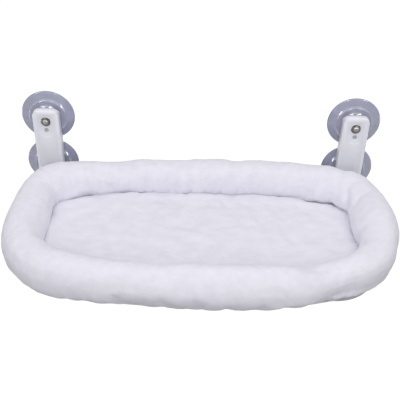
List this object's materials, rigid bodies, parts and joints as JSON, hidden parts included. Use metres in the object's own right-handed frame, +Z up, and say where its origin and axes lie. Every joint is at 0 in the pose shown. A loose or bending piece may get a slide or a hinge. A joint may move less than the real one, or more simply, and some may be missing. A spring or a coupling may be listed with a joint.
{
  "type": "window mounted cat perch",
  "caption": "Oval plush cat bed with a stuffed rim on a fold-down tube frame and sling, carried by uprights on suction cups.",
  "frame": {"origin": "on the window glass, in the middle of the pattern of four suction cups", "axes": "+X along the window to the right as seen from the room, +Y out through the glass, +Z up"},
  "size_m": [0.577, 0.34, 0.1821],
  "materials": {
    "upright_plastic": "satin",
    "arm_plastic": "satin",
    "cup_pvc": "gloss",
    "zinc_steel": "satin",
    "friction_fibre": "matte",
    "knob_plastic": "satin",
    "insert_brass": "satin",
    "tube_steel": "satin",
    "sling_cloth": "matte",
    "zip_cloth": "matte",
    "zip_plastic": "satin",
    "zip_metal": "satin",
    "strip_cloth": "matte",
    "base_cloth": "matte",
    "pad_plush": "matte",
    "rim_plush": "matte",
    "filling_fibre": "matte"
  },
  "bodies": {
    "root": {"upright_left": "upright_plastic", "upright_right": "upright_plastic", "cup_upper_left": "cup_pvc", "cup_upper_right": "cup_pvc", "cup_lower_left": "cup_pvc", "cup_lower_right": "cup_pvc", "stud_upper_left": "zinc_steel", "stud_upper_right": "zinc_steel", "stud_lower_left": "zinc_steel", "stud_lower_right": "zinc_steel", "washer_upper_left": "zinc_steel", "washer_upper_right": "zinc_steel", "washer_lower_left": "zinc_steel", "washer_lower_right": "zinc_steel", "nut_upper_left": "zinc_steel", "nut_upper_right": "zinc_steel", "nut_lower_left": "zinc_steel", "nut_lower_right": "zinc_steel", "hinge_bolt_left": "zinc_steel", "hinge_bolt_right": "zinc_steel", "friction_washers_left": "friction_fibre", "friction_washers_right": "friction_fibre", "knob_washer_left": "zinc_steel", "knob_washer_right": "zinc_steel"},
    "bed": {"arm_left": "arm_plastic", "arm_right": "arm_plastic", "side_tube_left": "tube_steel", "side_tube_right": "tube_steel", "front_ferrule": "zinc_steel", "rear_tube": "tube_steel", "tube_screws": "zinc_steel", "sling_panel": "sling_cloth", "sling_side_sleeve": "sling_cloth", "sling_rear_sleeve": "sling_cloth", "zip_tapes": "zip_cloth", "zip_teeth": "zip_plastic", "hook_strips": "strip_cloth", "loop_strips": "strip_cloth", "bed_base": "base_cloth", "pad_cover": "pad_plush", "pad_filling": "filling_fibre", "rim_cover": "rim_plush", "rim_filling": "filling_fibre"},
    "knob_left": {"knob_left": "knob_plastic", "knob_insert_left": "insert_brass"},
    "knob_right": {"knob_right": "knob_plastic", "knob_insert_right": "insert_brass"},
    "zip_slider": {"zip_slider": "zip_metal"},
    "zip_pull": {"zip_pull": "zip_metal"}
  },
  "joints": [
    {"name": "bed_fold", "type": "hinge", "parent": "root", "child": "bed", "pos_m": [0, -0.038, -0.07615], "axis": [1, 0, 0], "range_deg": [0, 90]},
    {"name": "knob_left_turn", "type": "hinge", "parent": "root", "child": "knob_left", "pos_m": [-0.27, -0.038, -0.07615], "axis": [-1, 0, 0], "range_deg": [0, 360]},
    {"name": "knob_right_turn", "type": "hinge", "parent": "root", "child": "knob_right", "pos_m": [0.27, -0.038, -0.07615], "axis": [1, 0, 0], "range_deg": [0, 360]},
    {"name": "zip_slide", "type": "slide", "parent": "bed", "child": "zip_slider", "axis": [-1, 0, 0], "range_m": [0, 0.362]},
    {"name": "zip_pull_swing", "type": "hinge", "parent": "zip_slider", "child": "zip_pull", "pos_m": [0.181, -0.112, -0.0725], "axis": [0, 1, 0], "range_deg": [-80, 80]}
  ]
}
